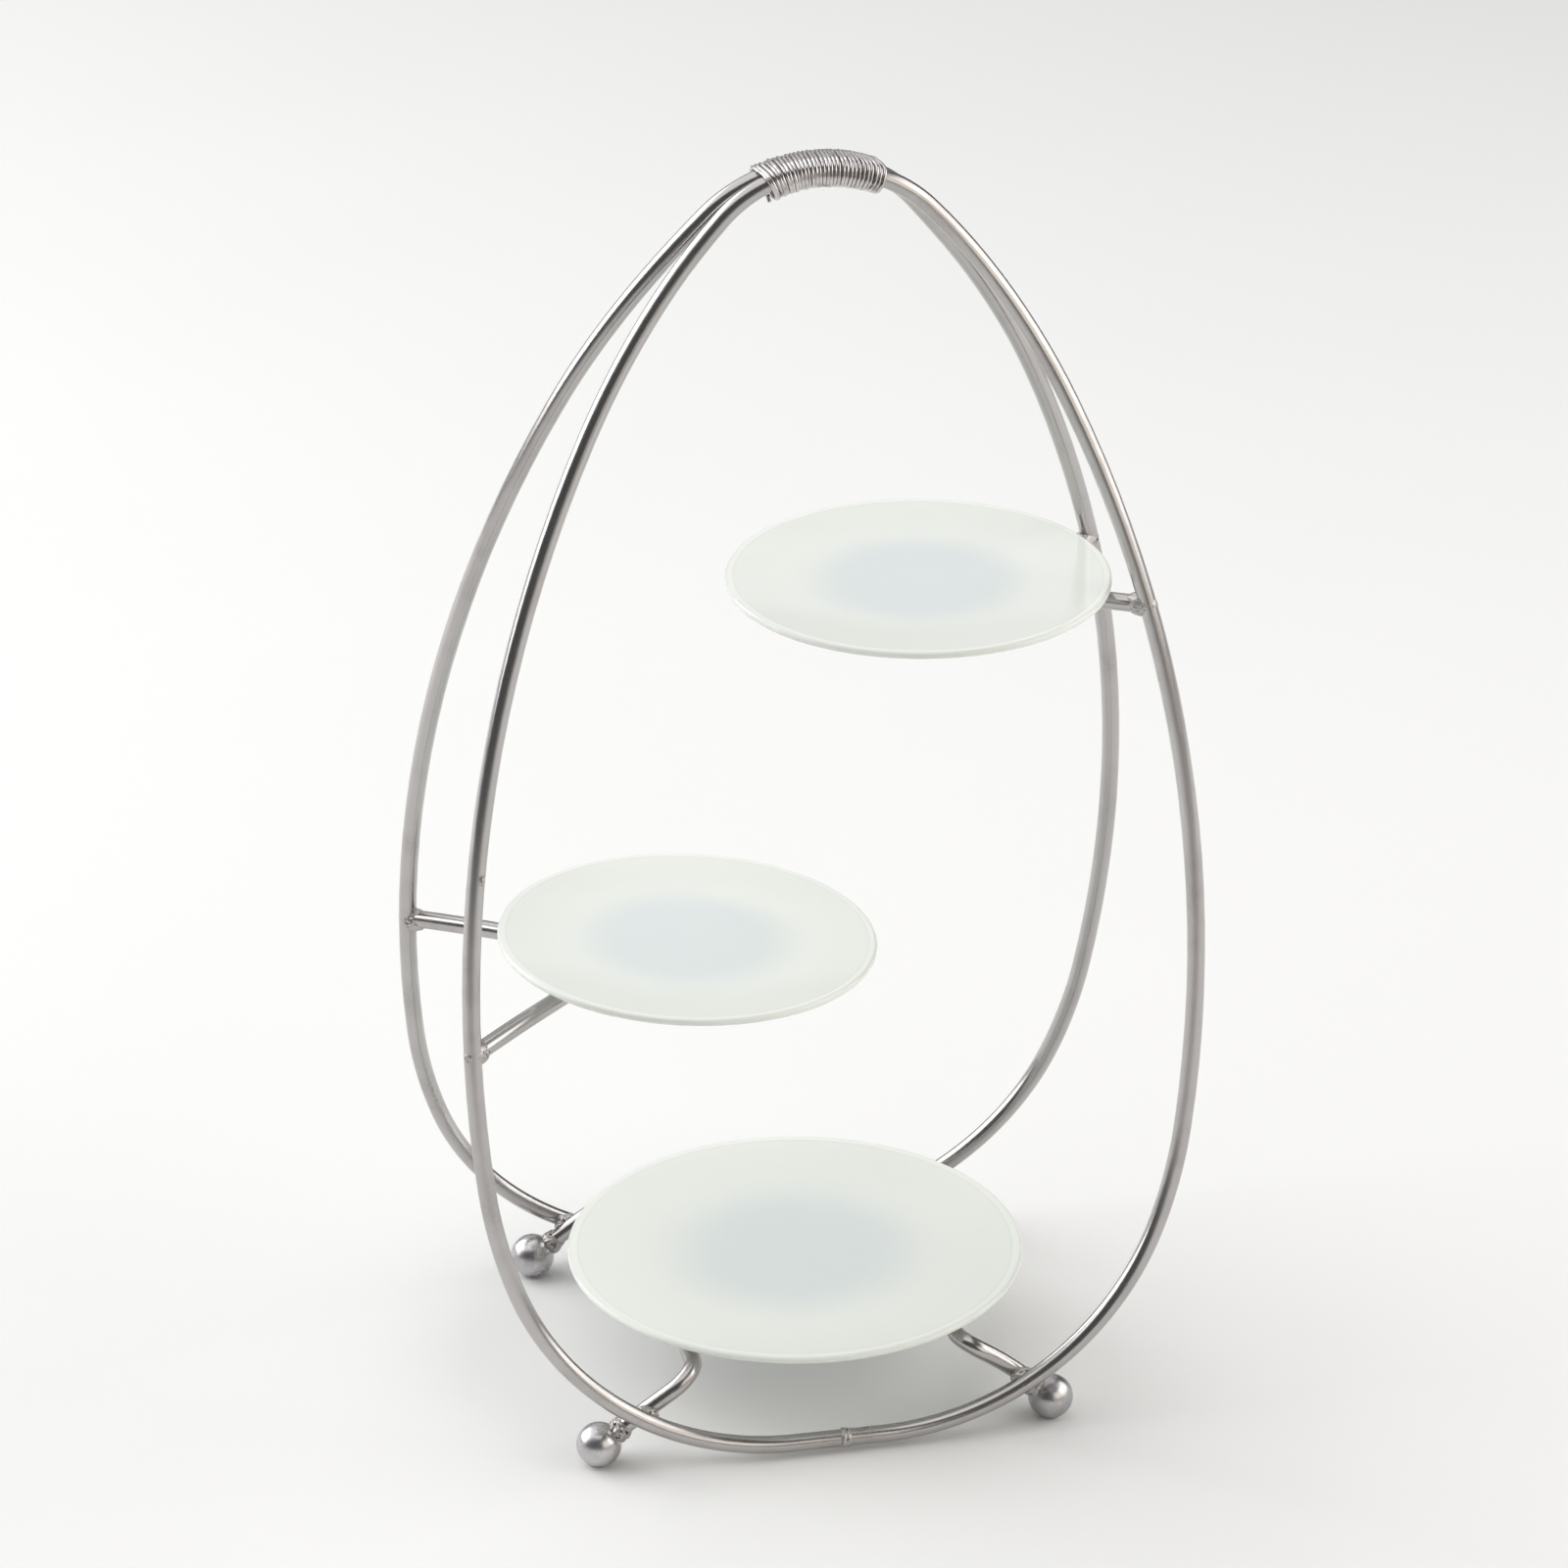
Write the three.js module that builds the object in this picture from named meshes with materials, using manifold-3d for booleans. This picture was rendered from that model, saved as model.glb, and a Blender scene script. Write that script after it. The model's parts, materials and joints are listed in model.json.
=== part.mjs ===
// A tiered cake stand: two leaning egg-shaped hoops of bent rod, two rod cradles, two rod feet on
// balls, and three loose glass plates. Millimetres, +Z up, +X right, -Y front. The origin is on the
// floor, under the middle of the whole stand.
import * as THREE from "three";
import { mergeVertices } from "three/addons/utils/BufferGeometryUtils.js";
import Module from "manifold-3d";

const wasm = await Module();
wasm.setup();

const FRONT = -1;
const BACK = 1;
const LEFT = -1;
const RIGHT = 1;

// Rods
const ROD_R = 3.5;
const GAP = 0.3; // between pieces that touch on the real stand
const ROD_SIDES = 8;

// Hoops: half the outline, from the middle of the base up to the crown, as [radius, sweep in degrees]
const HOOP_ARCS = [
  [117.9, 68.9],
  [185.7, 13.3],
  [508.7, 33.4],
  [310.2, 17.6],
  [54.8, 46.8],
];
const HOOP_BASE_Z = 5.6; // centre line of the base bars
const HOOP_BASE_Y = 87; // base bars in front of and behind the middle
const HOOP_PARTING_Z = 474; // below this height the two hoops lean away from each other
const HOOP_PARTING_SOFTNESS = 14; // height over which they part
const HOOP_BELLY = 1 / 3; // how far the lean bulges outwards half-way down
const HOOP_MID_X = 2.4; // middle of the hoops at LEAN_Z
const HOOP_SIDE_LEAN = Math.tan(THREE.MathUtils.degToRad(1.47)); // both hoops lean to the right
const LEAN_Z = 245;
const HOOP_STAGGER = 2.9; // the front hoop sits right of the middle, and the back hoop left of it
const STAGGER_FADE = 15; // drop below the crown over which the stagger appears
const SEAM_X = 2.7; // the butt weld lies this far right of the middle of the base
const HOOP_STEPS = 96;

// Wire binding round both rods at the crown
const BINDING_LENGTH = 52;
const BINDING_SHIFT = 3.5; // the binding sits this far right of the crown's middle
const BINDING_WIRE = 1.5;
const BINDING_CLEARANCE = 1; // the oval sleeve clears the curved rods by this much
const BINDING_STEPS = 6;

// Plates: [radius, radius of the flat well]
const LARGE_PLATE = [92, 46];
const SMALL_PLATE = [75, 40];
const PLATE_THICKNESS = 3;
const PLATE_DISH = 2.4; // the rim stands this far above the well
const PLATE_CURVE = 1.4; // power of the rise from well to rim
const PLATE_CURVE_STEPS = 3;
const PLATE_EDGE_STEPS = 4;
const PLATE_SEGMENTS = 36;

// Where the middle of each rim is, at its top edge
const LOWER_PLATE_AT = [-0.3, 0, 45.8];
const MIDDLE_PLATE_AT = [-43.4, 0, 190.2];
const UPPER_PLATE_AT = [47.9, -3, 338.3];
const MIDDLE_DROOP = THREE.MathUtils.degToRad(2.7); // the middle plate hangs down to the right

// Cradles: a keyhole loop under a plate on two arms welded to the hoops
const CRADLE_RING_R = 44;
const CRADLE_NECK_R = 9;
const MIDDLE_ARMS = { front: 178.5, back: 177.3, heading: THREE.MathUtils.degToRad(40) };
const UPPER_ARMS = { front: 331.2, back: 330, heading: THREE.MathUtils.degToRad(33) };
const CRADLE_STEPS = 46;

// Feet: balls, and the rods that join them and carry the lower plate
const BALL_R = 9;
const BALL_FLAT_R = 2.2; // worn flat that the ball stands on
const BALL_PROFILE_STEPS = 7;
const BALL_SEGMENTS = 14;
const FOOT_MID_X = -3.8;
const FOOT_HALF_X = 91.5;
const FOOT_HALF_Y = 77.3;
const FOOT_RUN_MID_X = -2.4;
const FOOT_RUN_HALF_X = 53.3; // the level runs under the plate
const FOOT_BEND_R = 10;
const FOOT_RISE = { [LEFT]: 1, [RIGHT]: 1.35 }; // 1 is a straight climb, more levels off early
const FOOT_STEPS = 46;

// Welds: half-sizes of the beads
const ARM_WELD = [5.6, 5.6, 6.4];
const CROSS_WELD = [4.4, 4.4, 4.6];
const BALL_WELD = [4.3, 4.6, 4.6];
const SEAM_WELD = [2.4, 4.7, 4.7];

const STEEL = { color: 0xb9b6b0, roughness: 0.3, metalness: 1 };
const POLISHED = { color: 0xc4c2be, roughness: 0.18, metalness: 1 };
const BRAZE = { color: 0xa8a49c, roughness: 0.45, metalness: 1 };
const GLASS = { color: 0xe6ebe6, roughness: 0.08, metalness: 0 };

// Solids and booleans

function solidOf(geometry) {
  const bare = new THREE.BufferGeometry();
  bare.setAttribute("position", geometry.getAttribute("position"));
  bare.setIndex(geometry.index);
  const merged = mergeVertices(bare, 1e-4);
  const vertProperties = merged.getAttribute("position").array;
  const triVerts = new Uint32Array(merged.index.array);
  return new wasm.Manifold(new wasm.Mesh({ numProp: 3, vertProperties, triVerts }));
}

function geometryOf(solid) {
  const { vertProperties, triVerts } = solid.getMesh();
  const geometry = new THREE.BufferGeometry();
  geometry.setAttribute("position", new THREE.BufferAttribute(vertProperties, 3));
  geometry.setIndex(new THREE.BufferAttribute(triVerts, 1));
  geometry.computeVertexNormals();
  return geometry;
}

function cut(geometry, tools) {
  return geometryOf(tools.reduce((left, tool) => left.subtract(tool), solidOf(geometry)));
}

// A round rod along a curve
function rod(curve, steps, radius = ROD_R) {
  const corner = (_, i) => {
    const angle = (2 * Math.PI * i) / ROD_SIDES;
    return new THREE.Vector2(radius * Math.cos(angle), radius * Math.sin(angle));
  };
  const section = new THREE.Shape(Array.from({ length: ROD_SIDES }, corner));
  return new THREE.ExtrudeGeometry(section, { steps, extrudePath: curve });
}

// A turned piece about the Z axis, from its profile of [radius, height] points
function turned(profile, segments) {
  const points = profile.map(([radius, height]) => new THREE.Vector2(radius, height));
  return new THREE.LatheGeometry(points, segments).rotateX(Math.PI / 2);
}

// Hoops

const arcHeight = HOOP_ARCS.reduce(
  ([height, angle], [radius, sweep]) => {
    const next = angle + THREE.MathUtils.degToRad(sweep);
    return [height + radius * (Math.cos(angle) - Math.cos(next)), next];
  },
  [0, 0],
)[0];
const CROWN_Z = HOOP_BASE_Z + arcHeight;

// The closed outline in the X-Z plane, from one side of the butt weld round to the other
function hoopOutline() {
  const half = HOOP_ARCS.map(([radius, sweep]) => [radius, THREE.MathUtils.degToRad(sweep)]);
  let angle = 0;
  let reach = 0;
  for (const [radius, sweep] of half) {
    reach += radius * (Math.sin(angle + sweep) - Math.sin(angle));
    angle += sweep;
  }
  const baseHalf = -reach;
  const outline = new THREE.Path();
  outline.moveTo(SEAM_X + GAP / 2, HOOP_BASE_Z).lineTo(baseHalf, HOOP_BASE_Z);
  let x = baseHalf;
  let z = HOOP_BASE_Z;
  let turn = -Math.PI / 2;
  for (const [radius, sweep] of [...half, ...half.toReversed()]) {
    const middleX = x - radius * Math.cos(turn);
    const middleZ = z - radius * Math.sin(turn);
    outline.absarc(middleX, middleZ, radius, turn, turn + sweep, false);
    turn += sweep;
    x = middleX + radius * Math.cos(turn);
    z = middleZ + radius * Math.sin(turn);
  }
  outline.lineTo(SEAM_X - GAP / 2, HOOP_BASE_Z);
  return outline;
}

// How far a hoop stands from the middle plane at a height: side by side at the crown, apart at the base
function hoopDepth(height) {
  const ramp = (z) => {
    const drop = HOOP_PARTING_Z - z;
    return (drop + Math.hypot(drop, HOOP_PARTING_SOFTNESS)) / 2;
  };
  const share = (ramp(height) - ramp(CROWN_Z)) / (ramp(HOOP_BASE_Z) - ramp(CROWN_Z));
  const touching = ROD_R + GAP / 2;
  return touching + (HOOP_BASE_Y - touching) * share * (1 + HOOP_BELLY * (1 - share));
}

class HoopCurve extends THREE.Curve {
  constructor(face) {
    super();
    this.face = face;
    this.outline = hoopOutline();
  }

  getPoint(t, target = new THREE.Vector3()) {
    const { x, y: z } = this.outline.getPoint(t);
    const stagger = HOOP_STAGGER * (1 - Math.exp((z - CROWN_Z) / STAGGER_FADE));
    const middle = HOOP_MID_X + (z - LEAN_Z) * HOOP_SIDE_LEAN - this.face * stagger;
    return target.set(middle + x, this.face * hoopDepth(z), z);
  }
}

const hoops = { [FRONT]: new HoopCurve(FRONT), [BACK]: new HoopCurve(BACK) };
const grownHoops = {
  [FRONT]: solidOf(rod(hoops[FRONT], HOOP_STEPS, ROD_R + GAP)),
  [BACK]: solidOf(rod(hoops[BACK], HOOP_STEPS, ROD_R + GAP)),
};

// The point of a hoop's left or right leg at a height
function legPoint(face, side, height) {
  let low = side === RIGHT ? 0.02 : 0.98;
  let high = 0.5;
  for (let i = 0; i < 40; i++) {
    const middle = (low + high) / 2;
    if (hoops[face].getPoint(middle).z < height) low = middle;
    else high = middle;
  }
  return hoops[face].getPoint(low);
}

// The two rods' shared middle line under the binding
class CrownCurve extends THREE.Curve {
  getPoint(t, target = new THREE.Vector3()) {
    const along = (t - 0.5) * BINDING_LENGTH - BINDING_SHIFT;
    const turn = 0.5 + along / hoops[FRONT].outline.getLength();
    return target.addVectors(hoops[FRONT].getPoint(turn), hoops[BACK].getPoint(turn)).divideScalar(2);
  }
}

// An oval round both rods, long axis along the section's X
function ovalPath(path, radius) {
  const offset = ROD_R + GAP / 2;
  path.absarc(offset, 0, radius, -Math.PI / 2, Math.PI / 2, false);
  path.absarc(-offset, 0, radius, Math.PI / 2, 1.5 * Math.PI, false);
  return path;
}

function crownBinding() {
  const inner = ROD_R + BINDING_CLEARANCE;
  const section = ovalPath(new THREE.Shape(), inner + BINDING_WIRE);
  section.holes.push(ovalPath(new THREE.Path(), inner));
  const options = { steps: BINDING_STEPS, curveSegments: 3, extrudePath: new CrownCurve() };
  return new THREE.ExtrudeGeometry(section, options);
}

// Plates

// Height of the top surface at a distance from the middle, below the rim
function plateTop([rimR, wellR], radius) {
  const share = Math.max(0, (radius - wellR) / (rimR - wellR));
  return PLATE_DISH * (share ** PLATE_CURVE - 1);
}

function plate([rimR, wellR]) {
  const edge = PLATE_THICKNESS / 2;
  const rise = Array.from({ length: PLATE_CURVE_STEPS + 1 }, (_, i) => {
    const radius = wellR + ((rimR - edge - wellR) * i) / PLATE_CURVE_STEPS;
    return [radius, plateTop([rimR - edge, wellR], radius)];
  });
  const edgeArc = Array.from({ length: PLATE_EDGE_STEPS - 1 }, (_, i) => {
    const angle = Math.PI * ((i + 1) / PLATE_EDGE_STEPS - 0.5);
    return [rimR - edge + edge * Math.cos(angle), edge * Math.sin(angle) - edge];
  });
  const under = rise.map(([radius, height]) => [radius, height - PLATE_THICKNESS]);
  const bottom = [0, -PLATE_DISH - PLATE_THICKNESS];
  const top = [0, -PLATE_DISH];
  return turned([bottom, ...under, ...edgeArc, ...rise.toReversed(), top], PLATE_SEGMENTS);
}

// Drop from the rim's top edge to the middle line of a rod that carries the plate at a radius
function rodDrop(sizes, radius) {
  return plateTop(sizes, radius) - PLATE_THICKNESS - GAP - ROD_R;
}

// Rods bent in plan, with their height given by a function of where they are

class PlanCurve extends THREE.Curve {
  constructor(plan, heightAt) {
    super();
    this.plan = plan;
    this.heightAt = heightAt;
  }

  getPoint(t, target = new THREE.Vector3()) {
    const { x, y } = this.plan.getPoint(t);
    return target.set(x, y, this.heightAt(x, y));
  }
}

// One arm of a cradle: its leg, where it meets the neck bend, and the bend's middle. The arm runs
// from the leg at the heading, and the neck bend touches both the arm and the ring.
function cradleArm(face, side, arms, centre) {
  const leg = legPoint(face, side, face === FRONT ? arms.front : arms.back);
  const along = new THREE.Vector2(-side * Math.cos(arms.heading), -face * Math.sin(arms.heading));
  const outwards = new THREE.Vector2(-side * Math.sin(arms.heading), face * Math.cos(arms.heading));
  const start = new THREE.Vector2(leg.x, leg.y);
  const offsetLine = start.clone().addScaledVector(outwards, CRADLE_NECK_R).sub(centre);
  const nearest = -offsetLine.dot(along);
  const distance = Math.abs(offsetLine.dot(outwards));
  const run = nearest - Math.sqrt((CRADLE_RING_R + CRADLE_NECK_R) ** 2 - distance ** 2);
  const armEnd = start.clone().addScaledVector(along, run);
  const neck = armEnd.clone().addScaledVector(outwards, CRADLE_NECK_R);
  return { leg, start, armEnd, neck };
}

function cradleCurve(side, arms, plateAt, droop) {
  const centre = new THREE.Vector2(plateAt[0], 0);
  const front = cradleArm(FRONT, side, arms, centre);
  const back = cradleArm(BACK, side, arms, centre);
  const angleTo = (from, to) => Math.atan2(to.y - from.y, to.x - from.x);
  const clockwise = side === RIGHT;
  const plan = new THREE.Path();
  plan.moveTo(front.start.x, front.start.y).lineTo(front.armEnd.x, front.armEnd.y);
  const bend = (middle, radius, from, to, turn) =>
    plan.absarc(middle.x, middle.y, radius, angleTo(middle, from), angleTo(middle, to), turn);
  bend(front.neck, CRADLE_NECK_R, front.armEnd, centre, !clockwise);
  bend(centre, CRADLE_RING_R, front.neck, back.neck, clockwise);
  bend(back.neck, CRADLE_NECK_R, centre, back.armEnd, !clockwise);
  plan.lineTo(back.start.x, back.start.y);
  const ringZ = plateAt[2] + rodDrop(SMALL_PLATE, CRADLE_RING_R);
  const heightAt = (x, y) => {
    const level = ringZ - Math.tan(droop) * (x - centre.x);
    const arm = y < 0 ? front : back;
    const reach = Math.hypot(x - centre.x, y - centre.y) - CRADLE_RING_R;
    const full = arm.start.distanceTo(centre) - CRADLE_RING_R;
    const share = THREE.MathUtils.clamp(reach / full, 0, 1);
    return THREE.MathUtils.lerp(level, arm.leg.z, share);
  };
  return new PlanCurve(plan, heightAt);
}

const BALL_Z = Math.sqrt(BALL_R ** 2 - BALL_FLAT_R ** 2);
const FOOT_RUN_Z = LOWER_PLATE_AT[2] + rodDrop(LARGE_PLATE, LARGE_PLATE[1]); // clears the whole well

const ballX = (side) => FOOT_MID_X + side * FOOT_HALF_X;
const runX = (side) => FOOT_RUN_MID_X + side * FOOT_RUN_HALF_X;

// Height of a foot rod on its way in from a ball to the level run
function footHeight(side, x) {
  const share = THREE.MathUtils.clamp((ballX(side) - x) / (ballX(side) - runX(side)), 0, 1);
  return BALL_Z + (FOOT_RUN_Z - BALL_Z) * (1 - (1 - share) ** FOOT_RISE[side]);
}

// How far in from a ball's middle its rod starts, so that the sloping end clears the ball
function rodInset(side) {
  const slope = (FOOT_RISE[side] * (FOOT_RUN_Z - BALL_Z)) / Math.abs(ballX(side) - runX(side));
  return (BALL_R + 1.6 * GAP) / Math.hypot(1, slope);
}

// From the front ball in along X, back along Y under the plate, and out to the back ball
function footCurve(side) {
  const startX = ballX(side) - side * rodInset(side);
  const bendX = runX(side) + side * FOOT_BEND_R;
  const bendY = FOOT_HALF_Y - FOOT_BEND_R;
  const inwards = side === RIGHT ? Math.PI : 0;
  const plan = new THREE.Path();
  plan.moveTo(startX, -FOOT_HALF_Y).lineTo(bendX, -FOOT_HALF_Y);
  plan.absarc(bendX, -bendY, FOOT_BEND_R, -Math.PI / 2, inwards, side === RIGHT);
  plan.lineTo(runX(side), bendY);
  plan.absarc(bendX, bendY, FOOT_BEND_R, inwards, Math.PI / 2, side === RIGHT);
  plan.lineTo(startX, FOOT_HALF_Y);
  return new PlanCurve(plan, (x) => footHeight(side, x));
}

function ballFoot(extra = 0) {
  const radius = BALL_R + extra;
  const lowest = Math.asin(BALL_Z / BALL_R);
  const arc = Array.from({ length: BALL_PROFILE_STEPS }, (_, i) => {
    const angle = -lowest + ((lowest + Math.PI / 2) * i) / BALL_PROFILE_STEPS;
    return [radius * Math.cos(angle), radius * Math.sin(angle)];
  });
  return turned([[0, arc[0][1]], ...arc, [0, radius]], BALL_SEGMENTS);
}

// Welds

function bead(at, halfSizes, tools) {
  const ball = new THREE.SphereGeometry(1, 10, 7).scale(...halfSizes).translate(at.x, at.y, at.z);
  return cut(ball, tools);
}

// Where a hoop crosses in front of or behind a foot rod
function footCrossing(face, side) {
  let low = BALL_Z;
  let high = FOOT_RUN_Z;
  for (let i = 0; i < 40; i++) {
    const height = (low + high) / 2;
    const leg = legPoint(face, side, height);
    if (footHeight(side, leg.x) > height) low = height;
    else high = height;
  }
  const leg = legPoint(face, side, low);
  return leg.setY((leg.y + face * FOOT_HALF_Y) / 2);
}

// Assembly

const stand = new THREE.Group();

function add(name, geometry, finish) {
  const mesh = new THREE.Mesh(geometry, new THREE.MeshStandardMaterial(finish));
  mesh.name = name;
  stand.add(mesh);
  return mesh;
}

for (const [face, faceName] of [[FRONT, "front"], [BACK, "back"]]) {
  add(`${faceName}_hoop`, rod(hoops[face], HOOP_STEPS), STEEL);
  const seam = hoops[face].getPoint(0).lerp(hoops[face].getPoint(1), 0.5);
  add(`${faceName}_hoop_seam`, bead(seam, SEAM_WELD, [grownHoops[face]]), BRAZE);
}

add("crown_binding", crownBinding(), STEEL);

const cradles = [
  ["middle", LEFT, MIDDLE_ARMS, MIDDLE_PLATE_AT, MIDDLE_DROOP],
  ["upper", RIGHT, UPPER_ARMS, UPPER_PLATE_AT, 0],
];
for (const [tier, side, arms, plateAt, droop] of cradles) {
  const curve = cradleCurve(side, arms, plateAt, droop);
  const bothHoops = [grownHoops[FRONT], grownHoops[BACK]];
  add(`${tier}_cradle`, cut(rod(curve, CRADLE_STEPS), bothHoops), STEEL);
  const grownCradle = solidOf(rod(curve, CRADLE_STEPS, ROD_R + GAP));
  const frontWeld = bead(curve.getPoint(0), ARM_WELD, [...bothHoops, grownCradle]);
  const backWeld = bead(curve.getPoint(1), ARM_WELD, [...bothHoops, grownCradle]);
  add(`${tier}_cradle_weld_front`, frontWeld, BRAZE);
  add(`${tier}_cradle_weld_back`, backWeld, BRAZE);
}

for (const [side, sideName] of [[LEFT, "left"], [RIGHT, "right"]]) {
  const curve = footCurve(side);
  add(`${sideName}_foot_rod`, rod(curve, FOOT_STEPS), STEEL);
  const grownRod = solidOf(rod(curve, FOOT_STEPS, ROD_R + GAP));
  for (const [face, faceName] of [[FRONT, "front"], [BACK, "back"]]) {
    const corner = `${faceName}_${sideName}`;
    const ballAt = new THREE.Vector3(ballX(side), face * FOOT_HALF_Y, BALL_Z);
    add(`ball_foot_${corner}`, ballFoot(), POLISHED).position.copy(ballAt);
    const grownBall = solidOf(ballFoot(GAP).translate(ballAt.x, ballAt.y, ballAt.z));
    const rodEnd = curve.getPoint(face === FRONT ? 0 : 1);
    add(`ball_weld_${corner}`, bead(rodEnd, BALL_WELD, [grownBall, grownRod]), BRAZE);
    const crossing = bead(footCrossing(face, side), CROSS_WELD, [grownHoops[face], grownRod]);
    add(`hoop_weld_${corner}`, crossing, BRAZE);
  }
}

add("lower_plate", plate(LARGE_PLATE), GLASS).position.set(...LOWER_PLATE_AT);
const middlePlate = add("middle_plate", plate(SMALL_PLATE), GLASS);
middlePlate.position.set(...MIDDLE_PLATE_AT);
middlePlate.rotation.y = MIDDLE_DROOP;
add("upper_plate", plate(SMALL_PLATE), GLASS).position.set(...UPPER_PLATE_AT);

export default stand;
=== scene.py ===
import bmesh
import bpy
import json
import math
from mathutils import Matrix, Vector, noise


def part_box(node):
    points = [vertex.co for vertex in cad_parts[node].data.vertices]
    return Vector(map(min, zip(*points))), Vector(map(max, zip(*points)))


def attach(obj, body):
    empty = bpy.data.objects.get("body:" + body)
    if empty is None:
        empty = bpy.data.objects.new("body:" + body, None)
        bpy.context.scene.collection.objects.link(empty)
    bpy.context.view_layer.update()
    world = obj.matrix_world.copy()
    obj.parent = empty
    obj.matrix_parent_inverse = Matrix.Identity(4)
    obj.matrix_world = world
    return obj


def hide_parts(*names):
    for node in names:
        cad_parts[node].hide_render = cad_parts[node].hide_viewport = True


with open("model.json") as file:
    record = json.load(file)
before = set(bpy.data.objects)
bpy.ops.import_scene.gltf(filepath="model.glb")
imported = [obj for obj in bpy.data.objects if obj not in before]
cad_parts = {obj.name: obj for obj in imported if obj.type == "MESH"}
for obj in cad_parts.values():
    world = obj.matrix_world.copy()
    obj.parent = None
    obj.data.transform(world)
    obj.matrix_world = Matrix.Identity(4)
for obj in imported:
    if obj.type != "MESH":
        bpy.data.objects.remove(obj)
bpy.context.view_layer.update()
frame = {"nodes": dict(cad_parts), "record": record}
print("frame loaded:", len(frame["nodes"]), "nodes")

mm = 0.001
front, back, left, right = -1, 1, -1, 1
faces = {front: "front", back: "back"}
sides = {left: "left", right: "right"}


class Value:  # one output socket; sums on it add Math nodes
    def __init__(self, nodes, socket):
        self.nodes = nodes
        self.socket = socket

    def math(self, operation, *numbers):
        return self.nodes.add("Math", {"operation": operation}, dict(enumerate(numbers)))

    def __add__(self, other):
        return self.math("ADD", self, other)

    def __sub__(self, other):
        return self.math("SUBTRACT", self, other)

    def __rsub__(self, other):
        return self.math("SUBTRACT", other, self)

    def __mul__(self, other):
        return self.math("MULTIPLY", self, other)

    __radd__ = __add__
    __rmul__ = __mul__

    def clamped(self, low, high):  # 0 at low, 1 at high, smooth between
        settings = {"interpolation_type": "SMOOTHSTEP"}
        return self.nodes.add("MapRange", settings, {0: self, 1: low, 2: high})


class Nodes:  # a node tree being filled
    def __init__(self, tree):
        self.tree = tree
        tree.nodes.clear()

    def add(self, kind, settings, sockets, output=0):
        node = self.tree.nodes.new("ShaderNode" + kind)
        for key, setting in settings.items():
            setattr(node, key, setting)
        for key, given in sockets.items():
            if isinstance(given, Value):
                self.tree.links.new(given.socket, node.inputs[key])
            else:
                node.inputs[key].default_value = given
        return Value(self, node.outputs[output]) if len(node.outputs) else node

    def mix(self, factor, first, second):  # two colours
        return self.add("Mix", {"data_type": "RGBA"}, {0: factor, 6: first, 7: second}, 2)

    def place(self):  # where a point is on its own piece, in metres
        return self.add("TexCoord", {}, {}, "Object")

    def speckle(self, where, scale, detail=3.0, roughness=0.5):
        sockets = {"Vector": where, "Scale": scale, "Detail": detail, "Roughness": roughness}
        return self.add("TexNoise", {}, sockets)

    def stretched(self, where, factors):
        return self.add("VectorMath", {"operation": "MULTIPLY"}, {0: where, 1: factors})

    def bump(self, height, strength, distance):
        return self.add("Bump", {}, {"Strength": strength, "Distance": distance, "Height": height})


def linear(red, green, blue):  # screen colour, 0 to 255, as light
    def one(value):
        share = value / 255
        return share / 12.92 if share <= 0.04045 else ((share + 0.055) / 1.055) ** 2.4
    return (one(red), one(green), one(blue), 1.0)


def finish(name, build):  # build returns the Principled sockets
    material = bpy.data.materials.new(name)
    material.use_nodes = True
    nodes = Nodes(material.node_tree)
    surface = nodes.add("BsdfPrincipled", {}, build(nodes))
    nodes.add("OutputMaterial", {}, {"Surface": surface})
    return material


# blotches, pits and the like are the scales of their noise, in waves per metre
rodLook = {
    "steel": linear(185, 182, 181),
    "dull": linear(172, 168, 166),
    "roughness": 0.22,
    "drawn": (40, 6, 1),  # drawing lines, across and along the rod's "run" map
    "blotches": 38.0,
    "grime": 420.0,
}


def satinSteel(nodes):
    run = nodes.add("UVMap", {"uv_map": "run"}, {})
    where = nodes.place()
    drawn = nodes.speckle(nodes.stretched(run, rodLook["drawn"]), 1.0, 4.0)
    blotch = nodes.speckle(where, rodLook["blotches"], 4.0, 0.6)
    stain = blotch.clamped(0.42, 0.72)
    grime = nodes.speckle(where, rodLook["grime"], 2.0).clamped(0.66, 0.74)
    colour = nodes.mix(stain * 0.7 + grime * 0.3, rodLook["steel"], rodLook["dull"])
    height = drawn * 0.6 + blotch * 0.4
    return {
        "Base Color": colour,
        "Metallic": 1.0,
        "Roughness": rodLook["roughness"] + stain * 0.06 + (drawn - 0.5) * 0.08,
        "Normal": nodes.bump(height, 0.1, 0.0001),
    }


wireLook = {
    "bright": linear(206, 202, 201),
    "dark": linear(124, 118, 117),
    "roughness": 0.16,
    "patches": 260.0,
    "scuffs": 1500.0,
}


def brightWire(nodes):
    where = nodes.place()
    patch = nodes.speckle(where, wireLook["patches"], 3.0).clamped(0.45, 0.75)
    scuff = nodes.speckle(where, wireLook["scuffs"], 2.0)
    return {
        "Base Color": nodes.mix(patch * 0.6, wireLook["bright"], wireLook["dark"]),
        "Metallic": 1.0,
        "Roughness": wireLook["roughness"] + patch * 0.12 + scuff * 0.08,
        "Normal": nodes.bump(scuff, 0.3, 0.0001),
    }


ballLook = {
    "steel": linear(203, 201, 202),
    "dull": linear(140, 137, 138),
    "roughness": 0.24,
    "haze": 95.0,
    "pits": 620.0,
    "dents": 210.0,
    "tarnish": {"front_left": 0.3, "back_left": 0.33, "front_right": 0.46, "back_right": 0.36},
}


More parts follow.
